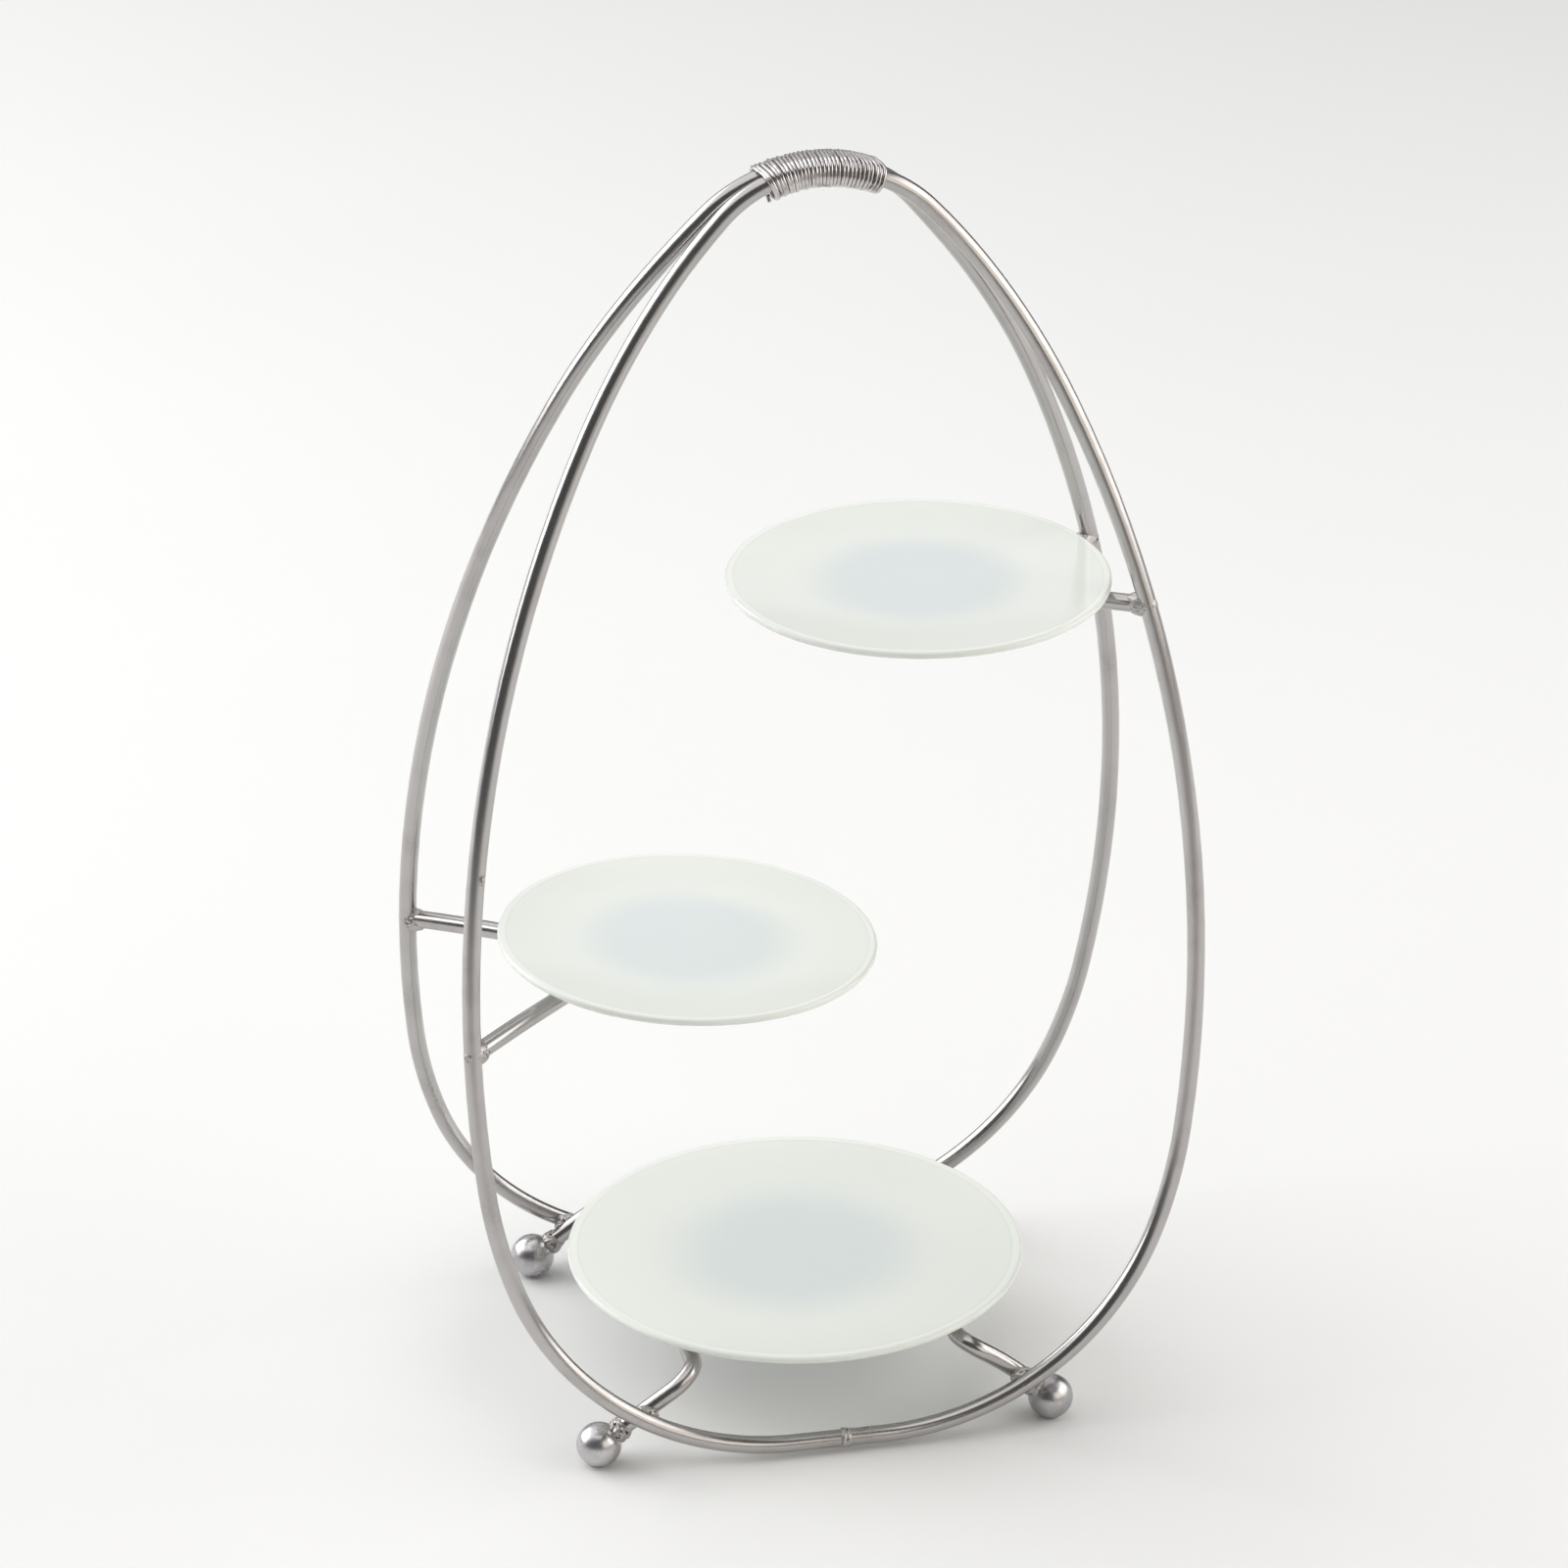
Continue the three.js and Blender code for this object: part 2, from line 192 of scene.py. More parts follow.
def polishedBall(tarnish):
    def build(nodes):
        where = nodes.place()
        haze = nodes.speckle(where, ballLook["haze"], 4.0, 0.6).clamped(0.7 - tarnish, 1.05 - tarnish)
        pits = nodes.speckle(where, ballLook["pits"], 2.0).clamped(0.7, 0.76)
        dents = nodes.speckle(where, ballLook["dents"], 3.0)
        return {
            "Base Color": nodes.mix(haze * 0.5 + pits * 0.5, ballLook["steel"], ballLook["dull"]),
            "Metallic": 1.0,
            "Roughness": ballLook["roughness"] + haze * 0.12 + pits * 0.25,
            "Normal": nodes.bump(dents - pits * 0.5, 0.4, 0.0003),
        }
    return build


weldLook = {
    "bead": linear(186, 182, 179),
    "scorch": linear(70, 64, 60),
    "roughness": 0.3,
    "lumps": 420.0,
    "pits": 640.0,
}


def weldMetal(nodes):
    where = nodes.place()
    lumps = nodes.speckle(where, weldLook["lumps"], 3.0, 0.6)
    pits = nodes.speckle(where, weldLook["pits"], 2.0).clamped(0.6, 0.68)
    return {
        "Base Color": nodes.mix(pits * 0.9, weldLook["bead"], weldLook["scorch"]),
        "Metallic": 1.0,
        "Roughness": weldLook["roughness"] + lumps * 0.2 + pits * 0.2,
        "Normal": nodes.bump(lumps - pits, 0.7, 0.0006),
    }


plateLook = {
    # well: a bluish painted shade over the middle of each plate, fading out into the body colour
    "well": linear(217, 224, 224),
    "body": linear(232, 235, 230),
    "band": linear(235, 238, 233),
    "line": linear(226, 229, 223),
    # edge: the rounded rim's clear glass tone, raised a little lighter as painted light where the
    # rim's underside turns into shade
    "edge": linear(231, 234, 229),
    "roughness": 0.1,
    "clouds": 26.0,
    "smears": 14.0,
    "ripples": 60.0,
}


def opalGlass(rimRadius, wellRadius):
    def build(nodes):
        where = nodes.place()
        toRim = 1 / (rimRadius * mm)
        flat = nodes.stretched(where, (toRim, toRim, 0))
        radius = nodes.add("VectorMath", {"operation": "LENGTH"}, {0: flat}, "Value")
        cloud = nodes.speckle(where, plateLook["clouds"], 3.0)
        # ring: 0 inside the bluish painted shade in the middle, 1 where it has faded into the body
        # colour; the clouds make its fade uneven
        ring = (radius + (cloud - 0.5) * 0.08).clamped(wellRadius / rimRadius - 0.17, 0.68)
        band = radius.clamped(0.945, 0.955)
        hairline = band * radius.clamped(0.96, 0.955)
        # edge: the rounded rim, in its clear glass tone with a little painted light
        edge = radius.clamped(0.975, 0.99)
        colour = nodes.mix(ring, plateLook["well"], plateLook["body"])
        colour = nodes.mix(band, colour, plateLook["band"])
        colour = nodes.mix(hairline, colour, plateLook["line"])
        colour = nodes.mix(edge, colour, plateLook["edge"])
        smear = nodes.speckle(where, plateLook["smears"], 4.0, 0.6).clamped(0.45, 0.8)
        ripple = nodes.speckle(where, plateLook["ripples"], 2.0)
        return {
            "Base Color": colour,
            "Roughness": plateLook["roughness"] + smear * 0.05,
            "IOR": 1.5,
            "Subsurface Weight": 0.3,
            "Subsurface Radius": (0.0025, 0.0025, 0.0022),
            "Subsurface Scale": 1.0,
            "Normal": nodes.bump(ripple, 0.12, 0.0002),
        }
    return build


floorLook = {
    "paper": linear(240, 240, 240),
    "shade": linear(237, 237, 236),
    "clouds": 3.0,
    "grain": 900.0,
}


def palePaper(nodes):
    where = nodes.place()
    cloud = nodes.speckle(where, floorLook["clouds"], 2.0)
    grain = nodes.speckle(where, floorLook["grain"], 2.0)
    return {
        "Base Color": nodes.mix(cloud, floorLook["paper"], floorLook["shade"]),
        "Roughness": 0.8 + grain * 0.1,
        "Specular IOR Level": 0.2,
        "Normal": nodes.bump(grain, 0.05, 0.0001),
    }


steel = finish("satinSteel", satinSteel)
wire = finish("brightWire", brightWire)
polish = {
    corner: finish(corner + "_polish", polishedBall(tarnish))
    for corner, tarnish in ballLook["tarnish"].items()
}
weld = finish("weldMetal", weldMetal)
print("finishes mixed")


def addPiece(name, mesh, material, slot, *nodes):  # a finished piece of the object
    shell = bmesh.new()
    shell.from_mesh(mesh)
    bmesh.ops.recalc_face_normals(shell, faces=shell.faces)
    shell.to_mesh(mesh)
    shell.free()
    mesh.materials.append(material)
    mesh.shade_smooth()
    piece = bpy.data.objects.new(name, mesh)
    bpy.context.scene.collection.objects.link(piece)
    if nodes:
        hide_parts(*nodes)
    return piece


runScale = 40  # steps of the "run" map along a rod, per metre


def sweep(name, points, radiusAt, around, closed=False):
    # rings of points square to a path, carried along it without twist
    count = len(points)
    tangents = []
    for i in range(count):
        before = points[i - 1] if closed or i else points[0]
        after = points[(i + 1) % count] if closed or i < count - 1 else points[-1]
        tangents.append((after - before).normalized())
    across = [tangents[0].orthogonal().normalized()]
    for i in range(1, count):
        turn = tangents[i - 1].rotation_difference(tangents[i])
        across.append(turn @ across[-1])
    twist = 0.0
    if closed:  # the leftover twist is shared out
        last = tangents[-1].rotation_difference(tangents[0]) @ across[-1]
        twist = math.atan2(last.cross(across[0]).dot(tangents[0]), last.dot(across[0]))
    lengths = [0.0]
    for i in range(1, count + 1):
        lengths.append(lengths[-1] + (points[i % count] - points[i - 1]).length)
    verts = []
    for i, (point, tangent) in enumerate(zip(points, tangents)):
        first = across[i]
        second = tangent.cross(first)
        for j in range(around):
            angle = 2 * math.pi * j / around + twist * i / count
            way = first * math.cos(angle) + second * math.sin(angle)
            verts.append(point + way * radiusAt(i, angle))
    quads = []
    runs = []
    for i in range(count if closed else count - 1):
        for j in range(around):
            corners = [(i, j), (i, j + 1), (i + 1, j + 1), (i + 1, j)]
            quads.append([(a % count) * around + b % around for a, b in corners])
            runs += [(b / around, lengths[a] * runScale) for a, b in corners]
    if not closed:
        quads.append(list(range(around))[::-1])
        quads.append([(count - 1) * around + j for j in range(around)])
        runs += [(0, 0)] * (2 * around)
    mesh = bpy.data.meshes.new(name)
    mesh.from_pydata(verts, [], quads)
    layer = mesh.uv_layers.new(name="run")
    layer.data.foreach_set("uv", [value for pair in runs for value in pair])
    return mesh


def lathe(name, profile, around):  # (radius, height) points in mm, turned about Z
    verts = []
    faceList = []
    for radius, height in profile:
        for j in range(around if radius > 0 else 1):
            angle = 2 * math.pi * j / around
            x, y = radius * math.cos(angle), radius * math.sin(angle)
            verts.append((x * mm, y * mm, height * mm))
    start = 0
    for (radius, _), (nextRadius, _) in zip(profile, profile[1:]):
        after = start + (around if radius > 0 else 1)
        for j in range(around):
            k = (j + 1) % around
            here = [start + j, start + k] if radius > 0 else [start]
            there = [after + k, after + j] if nextRadius > 0 else [after]
            faceList.append(here + there)
        start = after
    mesh = bpy.data.meshes.new(name)
    mesh.from_pydata(verts, [], faceList)
    return mesh


beadShape = {  # lumps and craters on a ball of radius 1
    "subdivisions": 5,
    "seedSteps": (7.3, 3.1, 5.7),
    "lumpScale": 1.7,
    "rippleScale": 4.3,
    "rippleShare": 0.45,
    "craterScale": 5.1,
    "craterFrom": 0.34,
    "craterDepth": 0.9,
}


def blob(name, centre, halfSizes, turn, lump, seed):  # a lumpy weld bead
    look = beadShape
    shape = bmesh.new()
    bmesh.ops.create_icosphere(shape, subdivisions=look["subdivisions"], radius=1.0)
    offset = Vector([seed * step for step in look["seedSteps"]])
    for vert in shape.verts:
        way = vert.co.copy()
        ripple = look["rippleShare"] * noise.noise(way * look["rippleScale"] + offset)
        swell = noise.noise(way * look["lumpScale"] + offset) + ripple
        crater = max(0.0, noise.noise(way * look["craterScale"] - offset) - look["craterFrom"])
        reach = 1 + lump * swell - crater * look["craterDepth"]
        vert.co = centre + turn @ Vector([w * s * mm * reach for w, s in zip(way, halfSizes)])
    mesh = bpy.data.meshes.new(name)
    shape.to_mesh(mesh)
    shape.free()
    return mesh


rodRadius = 3.5  # sizes and places are in mm from here on, unless a note says otherwise

rodShape = {
    "sidesAround": 28,
    "wobble": 0.08,  # hand-bent unevenness
    "wobbleScale": 0.03,
    "wobbleSeed": 5.3,
}

# one egg outline for both hoops: its arcs are a radius and the degrees it sweeps, from the base up
hoopShape = {
    "arcs": [(117.9, 68.9), (185.7, 13.3), (508.7, 33.4), (310.2, 17.6), (54.8, 46.8)],
    "baseZ": 5.6,
    "baseY": 87,
    "partingZ": 474,  # below this height the hoops lean away from each other
    "partingSoftness": 14,
    "belly": 1 / 3,  # how far the lean bulges outwards
    "middleX": 2.4,
    "sideLean": math.tan(math.radians(1.47)),
    "leanZ": 245,
    "stagger": 2.9,  # the front hoop sits this far right of the middle, and the back one left
    "staggerFade": 15,
    "touching": rodRadius + 0.15,
    "seamX": 2.7,
    "stepAngle": 1.5,  # in degrees
    "baseSteps": 12,
}


def hoopHalf():  # the right half's (x, z) outline, from the end of the straight base to the crown
    points = [(0.0, hoopShape["baseZ"])]
    angle = 0.0
    for radius, sweepAngle in hoopShape["arcs"]:
        x, z = points[-1]
        centreX = x - radius * math.sin(angle)
        centreZ = z + radius * math.cos(angle)
        steps = max(3, round(sweepAngle / hoopShape["stepAngle"]))
        for i in range(1, steps + 1):
            here = angle + math.radians(sweepAngle) * i / steps
            points.append((centreX + radius * math.sin(here), centreZ - radius * math.cos(here)))
        angle += math.radians(sweepAngle)
    crownX = points[-1][0]
    return [(x - crownX, z) for x, z in points]


rightHalf = hoopHalf()
crownZ = rightHalf[-1][1]


def hoopDepth(height):  # side by side at the crown, apart at the base
    def ramp(z):
        drop = hoopShape["partingZ"] - z
        return (drop + math.hypot(drop, hoopShape["partingSoftness"])) / 2
    share = (ramp(height) - ramp(crownZ)) / (ramp(hoopShape["baseZ"]) - ramp(crownZ))
    spread = hoopShape["baseY"] - hoopShape["touching"]
    return hoopShape["touching"] + spread * share * (1 + hoopShape["belly"] * (1 - share))


def onHoop(face, x, z):  # a point of the flat outline, leant and staggered
    stagger = hoopShape["stagger"] * (1 - math.exp((z - crownZ) / hoopShape["staggerFade"]))
    middle = hoopShape["middleX"] + (z - hoopShape["leanZ"]) * hoopShape["sideLean"]
    return Vector((middle - face * stagger + x, face * hoopDepth(z), z))


def hoopPoints(face):
    reach = rightHalf[0][0]
    steps = hoopShape["baseSteps"]
    base = [(reach * (2 * i / steps - 1), hoopShape["baseZ"]) for i in range(steps)]
    leftHalf = [(-x, z) for x, z in rightHalf[1:-1]]
    return [onHoop(face, x, z) for x, z in base + rightHalf + leftHalf[::-1]]


def legPoint(face, side, height):  # the middle of a leg's rod at a height
    leg = [onHoop(face, side * x, z) for x, z in rightHalf]
    for low, high in zip(leg, leg[1:]):
        if low.z <= height <= high.z:
            return low.lerp(high, (height - low.z) / max(high.z - low.z, 1e-6))
    return leg[-1]


def evenRod(points, seed):  # a rod's radius, a little uneven as hand-bent rod is
    offset = Vector((seed * rodShape["wobbleSeed"], 0, 0))

    def radiusAt(i, angle):
        wave = noise.noise(points[i] * rodShape["wobbleScale"] + offset)
        return (rodRadius + rodShape["wobble"] * wave) * mm
    return radiusAt


def rodPiece(name, points, seed, closed=False):
    metres = [point * mm for point in points]
    mesh = sweep(name, metres, evenRod(points, seed), rodShape["sidesAround"], closed)
    piece = addPiece(name + "_rod", mesh, steel, "satin_rod", name)
    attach(piece, "stand")


for face in (front, back):
    rodPiece(faces[face] + "_hoop", hoopPoints(face), face + 3, closed=True)
print("hoops bent")


# the rods under the plates follow these sizes too
plateShape = {
    "largeRim": 92,
    "largeWell": 46,
    "smallRim": 75,
    "smallWell": 40,
    "thickness": 3,
    "dish": 2.4,  # the rim stands this far above the well
    "curve": 1.4,  # power of the rise between them
    "gap": 0.3,
    "sidesAround": 160,
    "wellRings": (0.0, 0.3, 0.6, 0.85),  # shares of the well's radius
    "curveSteps": 16,
    "edgeSteps": 12,
}

mounts = {mount["name"]: mount for mount in frame["record"]["mounts"]}


def rimMiddle(tier):  # middle of a plate's rim at its top edge, and the way its face looks
    mount = mounts[tier + "_plate_well"]
    axis = Vector(mount["axis"]).normalized()
    return Vector(mount["pos_m"]) / mm + axis * plateShape["dish"], axis


def plateTop(rim, well, radius):  # height of the upper face, from the rim's top down
    share = max(0.0, (radius - well) / (rim - well))
    return plateShape["dish"] * (share ** plateShape["curve"] - 1)


def rodDrop(rim, well, radius):  # from the rim down to the middle of a rod under the plate
    return plateTop(rim, well, radius) - plateShape["thickness"] - plateShape["gap"] - rodRadius


def arc(middle, radius, start, end, clockwise, stepDegrees=6):  # plan points, without the first
    turn = (end - start) % (2 * math.pi)
    if clockwise:
        turn -= 2 * math.pi
    count = max(2, round(abs(math.degrees(turn)) / stepDegrees))
    angles = [start + turn * i / count for i in range(1, count + 1)]
    return [middle + Vector((math.cos(a), math.sin(a))) * radius for a in angles]


def line(start, end, count):  # even points, without the first
    return [start.lerp(end, i / count) for i in range(1, count + 1)]


def bearing(middle, point):  # angle in plan, from +X
    return math.atan2(point.y - middle.y, point.x - middle.x)


# each cradle is one rod: an arm, a keyhole loop under its plate and the other arm
cradleShape = {
    "ring": 44,
    "neck": 9,
    "armSteps": 14,
    "middle": {"side": left, "front": 178.5, "back": 177.3, "heading": math.radians(40)},
    "upper": {"side": right, "front": 331.2, "back": 330, "heading": math.radians(33)},
}


def cradleArm(face, tier, middle):  # from its leg to where the neck bends into the ring
    arms = cradleShape[tier]
    side, heading, neck = arms["side"], arms["heading"], cradleShape["neck"]
    leg = legPoint(face, side, arms[faces[face]])
    along = Vector((-side * math.cos(heading), -face * math.sin(heading)))
    outwards = Vector((-side * math.sin(heading), face * math.cos(heading)))
    offset = leg.xy + outwards * neck - middle
    distance = offset.dot(outwards)
    run = -offset.dot(along) - math.sqrt((cradleShape["ring"] + neck) ** 2 - distance ** 2)
    armEnd = leg.xy + along * run
    return {"leg": leg, "along": along, "armEnd": armEnd, "neck": armEnd + outwards * neck}


def cradlePath(tier):
    rim, axis = rimMiddle(tier)
    middle = Vector((rim.x, 0))
    frontArm = cradleArm(front, tier, middle)
    backArm = cradleArm(back, tier, middle)
    clockwise = cradleShape[tier]["side"] == right
    armSteps = cradleShape["armSteps"]
    plan = [frontArm["leg"].xy] + line(frontArm["leg"].xy, frontArm["armEnd"], armSteps)
    bends = [
        (frontArm["neck"], cradleShape["neck"], frontArm["armEnd"], middle, not clockwise),
        (middle, cradleShape["ring"], frontArm["neck"], backArm["neck"], clockwise),
        (backArm["neck"], cradleShape["neck"], middle, backArm["armEnd"], not clockwise),
    ]
    for centre, radius, start, end, way in bends:
        plan += arc(centre, radius, bearing(centre, start), bearing(centre, end), way)
    plan += line(backArm["armEnd"], backArm["leg"].xy, armSteps)
    ringZ = rim.z + rodDrop(plateShape["smallRim"], plateShape["smallWell"], cradleShape["ring"])
    droop = math.atan2(axis.x, axis.z)

    def height(point):
        level = ringZ - math.tan(droop) * (point.x - middle.x)
        arm = frontArm if point.y < 0 else backArm
        full = (arm["leg"].xy - middle).length - cradleShape["ring"]
        reach = (point - middle).length - cradleShape["ring"]
        share = min(1.0, max(0.0, reach / full))
        return level + (arm["leg"].z - level) * share
    return [Vector((*point, height(point))) for point in plan], (frontArm, backArm)


cradleArms = {}
for seed, tier in enumerate(("middle", "upper")):
    points, cradleArms[tier] = cradlePath(tier)
    rodPiece(tier + "_cradle", points, seed + 5)
print("cradles bent")

footShape = {
    "runMiddle": -2.4,
    "runHalf": 53.3,
    "bend": 10,
    "rise": {left: 1, right: 1.35},  # 1 is a straight climb, more levels off early
    "clear": 9.48,  # a rod's end, from the middle of its ball
    "climbSteps": 16,
    "runSteps": 20,
}

ballShape = {
    "radius": 9,
    "flat": 2.2,  # worn flat that the ball stands on
    "steps": 30,
    "sidesAround": 56,
    "frontTurn": 1.1,  # so that each ball shows another part of its haze
    "sideTurn": 2.3,
}


def ballMiddle(face, side):  # from its top, because its flat cuts the box short
    low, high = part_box(f"ball_foot_{faces[face]}_{sides[side]}")
    middle = (low + high) / 2 / mm
    return Vector((middle.x, middle.y, high.z / mm - ballShape["radius"]))


def footRun(side):  # where a foot rod runs level under its plate, as x and z
    rim, _ = rimMiddle("lower")
    drop = rodDrop(plateShape["largeRim"], plateShape["largeWell"], plateShape["largeWell"])
    return footShape["runMiddle"] + side * footShape["runHalf"], rim.z + drop


def footHeight(side, x):  # of the middle of a foot rod
    ball = ballMiddle(front, side)
    runX, runZ = footRun(side)
    share = min(1.0, max(0.0, (ball.x - x) / (ball.x - runX)))
    return ball.z + (runZ - ball.z) * (1 - (1 - share) ** footShape["rise"][side])


def rodInset(side):  # how far in from its ball's middle a rod starts
    ball = ballMiddle(front, side)
    runX, runZ = footRun(side)
    slope = footShape["rise"][side] * (runZ - ball.z) / abs(ball.x - runX)
    return footShape["clear"] / math.hypot(1, slope)


def footPath(side):
    ball = ballMiddle(front, side)
    bend = footShape["bend"]
    runX, _ = footRun(side)
    startX = ball.x - side * rodInset(side)
    bendX = runX + side * bend
    bendY = -ball.y - bend
    inwards = math.pi if side == right else 0.0
    climb, run = footShape["climbSteps"], footShape["runSteps"]
    start = Vector((startX, ball.y))
    plan = [start] + line(start, Vector((bendX, ball.y)), climb)
    plan += arc(Vector((bendX, -bendY)), bend, -math.pi / 2, inwards, side == right)
    plan += line(Vector((runX, -bendY)), Vector((runX, bendY)), run)
    plan += arc(Vector((bendX, bendY)), bend, inwards, math.pi / 2, side == right)
    plan += line(Vector((bendX, -ball.y)), Vector((startX, -ball.y)), climb)
    return [Vector((*point, footHeight(side, point.x))) for point in plan]


for side in (left, right):
    rodPiece(sides[side] + "_foot_rod", footPath(side), side + 9)
print("foot rods bent")


def ballProfile():
    radius, flat, steps = ballShape["radius"], ballShape["flat"], ballShape["steps"]
    lowest = math.acos(flat / radius)
    points = [(0, -radius * math.sin(lowest))]
    for i in range(steps):
        angle = -lowest + (lowest + math.pi / 2) * i / steps
        points.append((radius * math.cos(angle), radius * math.sin(angle)))
    return points + [(0, radius)]


for face in (front, back):
    for side in (left, right):
        corner = f"{faces[face]}_{sides[side]}"
        name = "ball_" + corner
        mesh = lathe(name, ballProfile(), ballShape["sidesAround"])
        piece = addPiece(name, mesh, polish[corner], "polished_ball", "ball_foot_" + corner)
        piece.location = ballMiddle(face, side) * mm
        piece.rotation_euler.z = ballShape["frontTurn"] * face + ballShape["sideTurn"] * side
        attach(piece, "stand")
print("ball feet turned")


# a bead's half-sizes are along its rod, across it and up
weldShape = {
    "arm": (6.6, 4.0, 4.8),
    "cross": (5.0, 4.4, 4.4),
    "ball": (4.6, 4.8, 4.8),
    "lump": 0.16,
    "armLump": 0.07,
    "armIn": 2.8,  # the middle of an arm's bead, in from the middle of its leg
    "ballOut": 0.6,  # the middle of a ball's bead, out from the end of its rod
    "spatter": (1.5, 1.3, 2.2),
    "spatterZ": 247.6,
    "spatterOff": (1.6, -2.7, 0.9),  # from the middle of the front left leg
}


def weldPiece(name, centre, halfSizes, along, seed, lump, *nodes):
    heading = math.atan2(along.y, along.x)
    turn = Matrix.Rotation(heading, 3, "Z")
    mesh = blob(name, centre * mm, halfSizes, turn, lump, seed)
    piece = addPiece(name, mesh, weld, "weld_metal", *nodes)
    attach(piece, "stand")


for tier, arms in cradleArms.items():
    for face, arm in zip((front, back), arms):
        name = f"{tier}_cradle_weld_{faces[face]}"
        along = Vector((*arm["along"], 0))
        middle = arm["leg"] + along * weldShape["armIn"]
        lump = weldShape["armLump"]
        weldPiece(name + "_bead", middle, weldShape["arm"], along, len(name) + face, lump, name)


def footCrossing(face, side):  # where a hoop passes a foot rod
    low = ballMiddle(face, side).z
    high = footHeight(side, 0)
    for _ in range(30):
        height = (low + high) / 2
        if footHeight(side, legPoint(face, side, height).x) > height:
            low = height
        else:
            high = height
    leg = legPoint(face, side, low)
    return Vector((leg.x, (leg.y + ballMiddle(face, side).y) / 2, leg.z))


for face in (front, back):
    for side in (left, right):
        corner = f"{faces[face]}_{sides[side]}"
        crossing = footCrossing(face, side)
        inwards = Vector((-side, 0, 0))
        seed = 3 * face + side
        lump = weldShape["lump"]
        name = "hoop_weld_" + corner
        weldPiece(name + "_bead", crossing, weldShape["cross"], inwards, seed + 11, lump, name)
        ball = ballMiddle(face, side)
        neckX = ball.x - side * rodInset(side)
        neck = Vector((neckX - side * weldShape["ballOut"], ball.y, footHeight(side, neckX)))
        name = "ball_weld_" + corner
        weldPiece(name + "_bead", neck, weldShape["ball"], inwards, seed + 21, lump, name)


seamShape = {
    "width": 1.5,
    "height": 0.75,
    "lump": 0.9,
    "notch": 0.55,  # share of the ring that the line between the two ends takes out
    "sunk": 0.15,  # the ring's ends lie this far inside the rod
    "steps": 24,
    "sidesAround": 32,
}


def seamPiece(face):  # the raised ring where a hoop's two ends meet
    name = faces[face] + "_hoop_seam"
    width, steps = seamShape["width"], seamShape["steps"]
    middle = onHoop(face, hoopShape["seamX"], hoopShape["baseZ"])
    offsets = [3 * width * (2 * i / steps - 1) for i in range(steps + 1)]
    points = [(middle + Vector((offset, 0, 0))) * mm for offset in offsets]

    def radiusAt(i, angle):
        ridge = math.exp(-(offsets[i] / width) ** 2)
        notch = math.exp(-(offsets[i] / width * 3) ** 2)
        at = Vector((offsets[i] * 0.5, 2 * math.cos(angle), 2 * math.sin(angle) + face))
        lump = noise.noise(at)
        ring = (1 + seamShape["lump"] * lump) * (ridge - seamShape["notch"] * notch)
        return (rodRadius - seamShape["sunk"] + seamShape["height"] * ring) * mm
    mesh = sweep(name, points, radiusAt, seamShape["sidesAround"])
    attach(addPiece(name + "_ring", mesh, weld, "weld_metal", name), "stand")


for face in (front, back):
    seamPiece(face)

spatterAt = legPoint(front, left, weldShape["spatterZ"]) + Vector(weldShape["spatterOff"])
weldPiece("weld_spatter", spatterAt, weldShape["spatter"], Vector((1, 0, 0)), 31, weldShape["lump"])
print("welds laid")


# one thin wire wound round both rods at the crown
bindingShape = {
    "wire": 0.76,  # its radius
    "length": 45,
    "shift": -0.4,
    "turns": 31,
    "stepsPerTurn": 44,
    "sidesAround": 10,
    "lift": 0.35,
    "sag": (1.5, 0.6),  # how much lower and further forward the turns hang
    "stray": 0.3,
    "looseTurns": 9,  # turns at the left end that are wound less neatly
    "looseStray": 1.6,
    "looseLift": 0.8,
    "flatness": 3.5,  # how straight a turn runs from one rod to the other
    "leftEnd": (0.8, -1.4, -2.6),  # the wire's ends, from the first and last turn
    "rightEnd": (1.1, -1.2, -0.8),
}


def crownPair(run):  # both rods' middles at a distance right of the crown
    radius = hoopShape["arcs"][-1][0]
    x = radius * math.sin(run / radius)
    z = crownZ - radius * (1 - math.cos(run / radius))
    return onHoop(front, x, z), onHoop(back, x, z)


def wirePoint(run, angle, lift):  # lift is how far the wire stands off the rods
    frontMiddle, backMiddle = crownPair(run)
    ahead = sum(crownPair(run + 0.5), Vector()) - sum(crownPair(run - 0.5), Vector())
    across = (backMiddle - frontMiddle).normalized()
    up = across.cross(ahead.normalized()).normalized()
    if up.z < 0:
        up = -up
    half = (backMiddle - frontMiddle).length / 2
    offset = rodRadius + bindingShape["wire"] + lift
    lean = math.tanh(bindingShape["flatness"] * math.cos(angle))
    middle = (frontMiddle + backMiddle) / 2
    sideways = half * lean + offset * math.cos(angle)
    return middle + across * sideways + up * offset * math.sin(angle)


def wirePath():
    steps = bindingShape["turns"] * bindingShape["stepsPerTurn"]
    start = bindingShape["shift"] - bindingShape["length"] / 2
    points = []
    for i in range(steps + 1):
        turns = i / bindingShape["stepsPerTurn"]
        angle = 2 * math.pi * turns - math.pi / 2
        loose = max(0.0, 1 - turns / bindingShape["looseTurns"])
        aside = noise.noise(Vector((turns * 0.9, 3.7, 0)))
        proud = noise.noise(Vector((turns * 1.3, 9.1, 0)))
        stray = bindingShape["stray"] * (1 + bindingShape["looseStray"] * loose) * aside
        sagDown, sagForward = bindingShape["sag"]
        lift = bindingShape["lift"] * (1 + proud) * (1 + bindingShape["looseLift"] * loose)
        lift += sagDown * max(0.0, -math.sin(angle)) + sagForward * max(0.0, -math.cos(angle))
        run = start + bindingShape["length"] * i / steps + stray
        points.append(wirePoint(run, angle, max(0.0, lift)))
    leftEnd = points[0] + Vector(bindingShape["leftEnd"])
    rightEnd = points[-1] + Vector(bindingShape["rightEnd"])
    return line(leftEnd, points[0], 6)[:-1] + points + line(points[-1], rightEnd, 5)


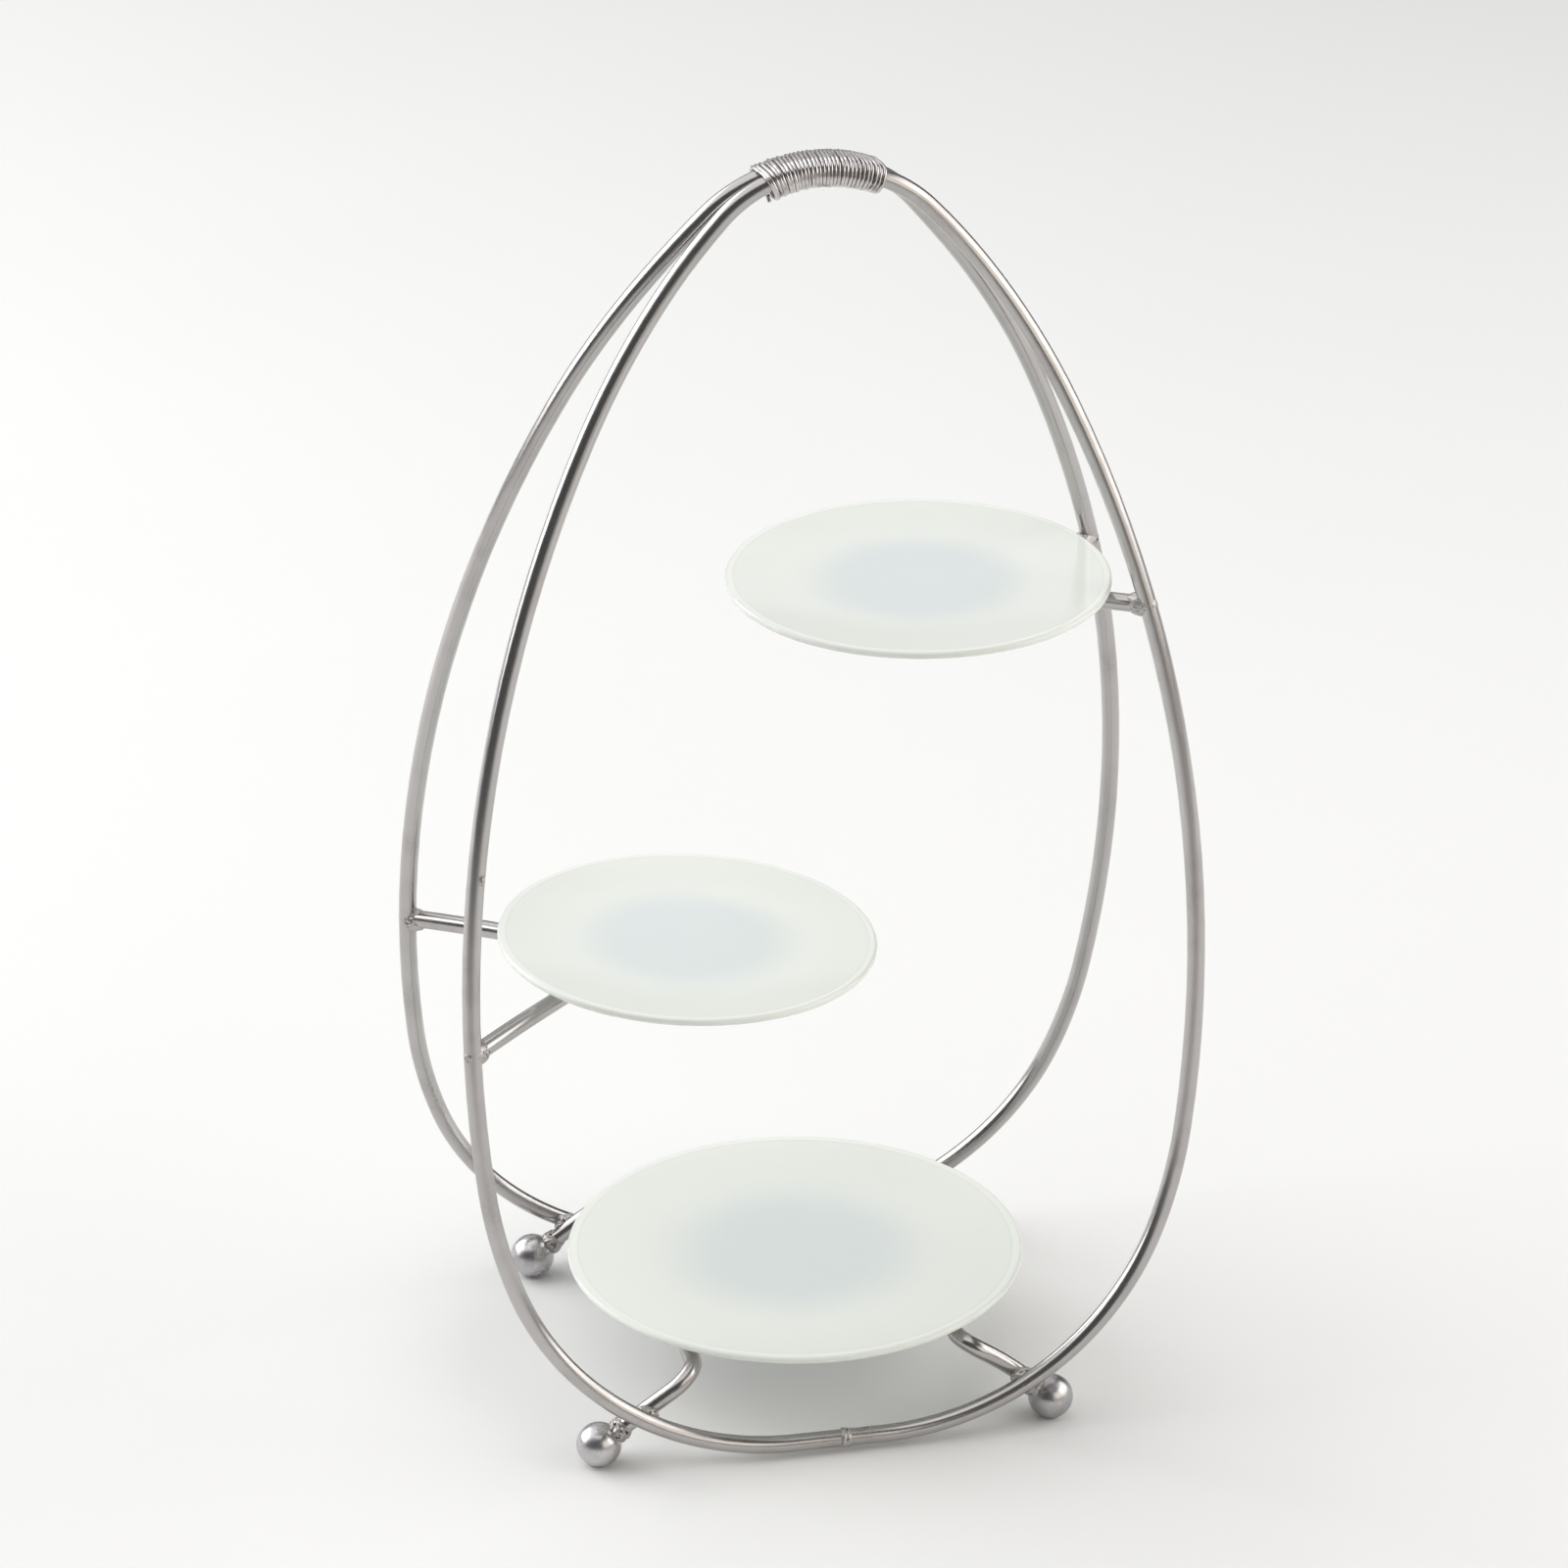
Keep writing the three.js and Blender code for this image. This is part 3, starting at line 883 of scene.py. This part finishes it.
wirePoints = [point * mm for point in wirePath()]
wireRadius = bindingShape["wire"] * mm
wireMesh = sweep("crown_wire", wirePoints, lambda i, angle: wireRadius, bindingShape["sidesAround"])
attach(addPiece("crown_wire", wireMesh, wire, "binding_wire", "crown_binding"), "stand")
print("binding wound")


def plateProfile(rim, well):
    edge = plateShape["thickness"] / 2
    steps, edgeSteps = plateShape["curveSteps"], plateShape["edgeSteps"]
    dish = plateShape["dish"]
    radii = [well + (rim - edge - well) * i / steps for i in range(steps + 1)]
    top = [(radius, plateTop(rim - edge, well, radius) + dish) for radius in radii]
    inner = [(well * share, 0.0) for share in plateShape["wellRings"]]
    under = [(radius, height - 2 * edge) for radius, height in inner + top]
    angles = [math.pi * ((i + 1) / edgeSteps - 0.5) for i in range(edgeSteps - 1)]
    rimArc = [(rim - edge + edge * math.cos(a), edge * math.sin(a) - edge + dish) for a in angles]
    return under + rimArc + (inner + top)[::-1]


plates = {
    "lower": (plateShape["largeRim"], plateShape["largeWell"]),
    "middle": (plateShape["smallRim"], plateShape["smallWell"]),
    "upper": (plateShape["smallRim"], plateShape["smallWell"]),
}
for tier, (rim, well) in plates.items():
    mesh = lathe(tier + "_glass", plateProfile(rim, well), plateShape["sidesAround"])
    glass = finish(tier + "Opal", opalGlass(rim, well))
    piece = addPiece(tier + "_glass", mesh, glass, "plate_glass", tier + "_plate")
    mount = mounts[tier + "_plate_well"]
    tilt = Vector((0, 0, 1)).rotation_difference(Vector(mount["axis"]))
    piece.matrix_world = Matrix.Translation(Vector(mount["pos_m"])) @ tilt.to_matrix().to_4x4()
    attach(piece, tier + "_plate")
print("plates slumped")


floorShape = {"radius": 7.0, "segments": 96}  # in metres


def layFloor():
    mesh = bpy.data.meshes.new("floor")
    shape = bmesh.new()
    radius, segments = floorShape["radius"], floorShape["segments"]
    bmesh.ops.create_circle(shape, cap_ends=True, segments=segments, radius=radius)
    shape.to_mesh(mesh)
    shape.free()
    mesh.materials.append(finish("palePaper", palePaper))
    floor = bpy.data.objects.new("floor", mesh)
    bpy.context.scene.collection.objects.link(floor)


# places and sizes in metres
lamps = {
    "overhead": {
        "at": (-0.6, 0.3, 2.3), "aim": (-0.1, 0.1, 0), "size": (3.4, 3.0), "watts": 37,
        "colour": (1, 1, 1),
    },
    "window": {
        "at": (-2.4, 1.3, 1.45), "aim": (0, 0.3, 0.1), "size": (3.2, 2.2), "watts": 69,
        "colour": (1, 1, 1),
    },
    "sideWall": {
        "at": (2.3, -0.3, 1.3), "aim": (0, 0, 0.1), "size": (2.6, 2.0), "watts": 38,
        "colour": (1.0, 0.985, 0.965),
    },
    "highBack": {
        "at": (-0.3, 2.9, 2.2), "aim": (-0.1, 0.3, 0.2), "size": (5.0, 1.6), "watts": 11.4,
        "colour": (1, 1, 1),
    },
    "lowBack": {
        "at": (-0.4, 3.4, 1.3), "aim": (-0.2, 0, 0.3), "size": (5.0, 1.8), "watts": 9.3,
        "colour": (1, 1, 1),
    },
    "fill": {
        "at": (1.2, -1.8, 1.0), "aim": (0, 0, 0.1), "size": (2.0, 1.4), "watts": 12,
        "colour": (1.0, 0.93, 0.84),
    },
}


def hangLamps():
    for name, look in lamps.items():
        lamp = bpy.data.lights.new(name, "AREA")
        lamp.shape = "RECTANGLE"
        lamp.size, lamp.size_y = look["size"]
        lamp.energy = look["watts"]
        lamp.color = look["colour"]
        holder = bpy.data.objects.new(name, lamp)
        holder.location = look["at"]
        way = Vector(look["aim"]) - Vector(look["at"])
        holder.rotation_euler = way.to_track_quat("-Z", "Y").to_euler()
        bpy.context.scene.collection.objects.link(holder)


roomLight = {"colour": (0.98, 0.99, 1.0, 1.0), "strength": 0.1}


def lightRoom():
    world = bpy.data.worlds.new("room")
    world.use_nodes = True
    nodes = Nodes(world.node_tree)
    sockets = {"Color": roomLight["colour"], "Strength": roomLight["strength"]}
    glow = nodes.add("Background", {}, sockets)
    nodes.add("OutputWorld", {}, {"Surface": glow})
    bpy.context.scene.world = world
    bpy.context.scene.view_settings.view_transform = "Standard"


cameraShape = {
    "azimuth": math.radians(-11.692),
    "elevation": math.radians(25.371),
    "roll": math.radians(-0.06),
    "distance": 2623.0,
    "lens": 153.92,
    "sensor": 36,
    "aimX": -2.05,
    "aimZ": 251.66,
    "slip": -2.51,  # the aim moves this far along the camera's own right
}


def placeCamera():
    azimuth, elevation = cameraShape["azimuth"], cameraShape["elevation"]
    level = math.cos(elevation)
    away = Vector((math.sin(azimuth) * level, -math.cos(azimuth) * level, math.sin(elevation)))
    across = Vector((math.cos(azimuth), math.sin(azimuth), 0))
    up = away.cross(across)
    aim = Vector((cameraShape["aimX"], 0, cameraShape["aimZ"])) + across * cameraShape["slip"]
    turned = Matrix((across, up, away)).transposed() @ Matrix.Rotation(cameraShape["roll"], 3, "Z")
    data = bpy.data.cameras.new("camera")
    data.lens = cameraShape["lens"]
    data.sensor_width = cameraShape["sensor"]
    camera = bpy.data.objects.new("camera", data)
    place = Matrix.Translation((aim + away * cameraShape["distance"]) * mm)
    camera.matrix_world = place @ turned.to_4x4()
    bpy.context.scene.collection.objects.link(camera)
    bpy.context.scene.camera = camera


layFloor()
hangLamps()
lightRoom()
placeCamera()
print("studio set")

bpy.context.view_layer.update()
